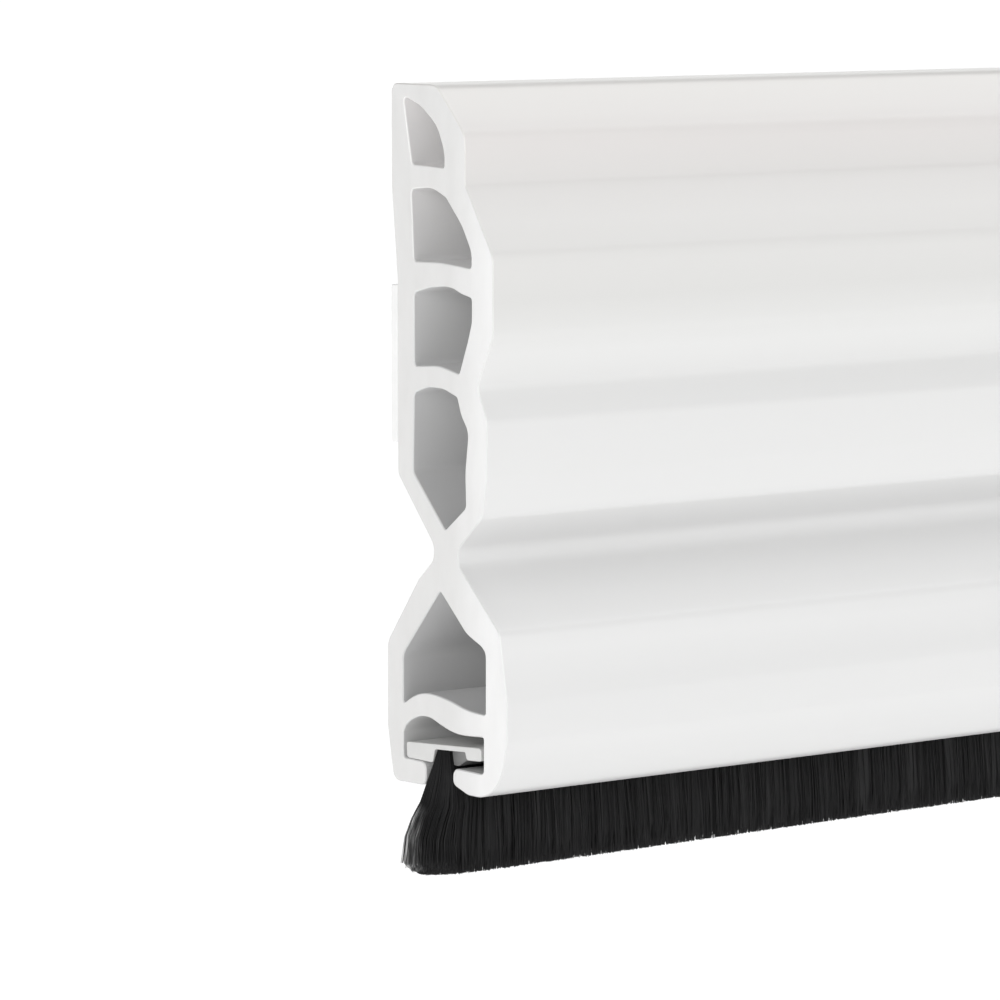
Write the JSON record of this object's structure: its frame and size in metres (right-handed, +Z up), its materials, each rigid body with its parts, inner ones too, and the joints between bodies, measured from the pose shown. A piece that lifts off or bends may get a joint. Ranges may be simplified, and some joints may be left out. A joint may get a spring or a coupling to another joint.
{
  "type": "door sweep",
  "caption": "Self-adhesive door-bottom brush strip: hollow white moulded profile on a flexible neck, with a black brush held in a lipped channel.",
  "frame": {"origin": "centre of the adhesive face, on the outer side of the foam tape", "axes": "+X along the strip, +Y out of the adhesive face into the door, +Z up; the moulded front faces -Y"},
  "size_m": [1, 0.0115, 0.0448],
  "materials": {
    "white_pvc": "smooth satin white extruded PVC",
    "soft_pvc": "flexible white PVC",
    "foam_tape": "white double-sided acrylic foam tape",
    "backing_plastic": "milky translucent polypropylene",
    "bristle": "dense black synthetic filament pile"
  },
  "bodies": {
    "mounting": {"mounting_profile": "white_pvc", "hinge_web": "soft_pvc", "adhesive_tape": "foam_tape"},
    "carrier": {"brush_carrier": "white_pvc"},
    "brush": {"brush_backing": "backing_plastic", "pile_root": "bristle"},
    "bristles": {"brush_pile": "bristle"}
  },
  "joints": [
    {"name": "carrier_swing", "type": "hinge", "parent": "mounting", "child": "carrier", "pos_m": [0, -0.00515, -0.0105], "axis": [1, 0, 0], "range_deg": [-25, 25], "stiffness_Nm_per_rad": 0.5},
    {"name": "brush_slide", "type": "slide", "parent": "carrier", "child": "brush", "axis": [1, 0, 0], "range_m": [-0.9, 0.9]},
    {"name": "bristle_bend", "type": "hinge", "parent": "brush", "child": "bristles", "pos_m": [0, -0.00485, -0.0238], "axis": [1, 0, 0], "range_deg": [-25, 25], "stiffness_Nm_per_rad": 0.1}
  ]
}
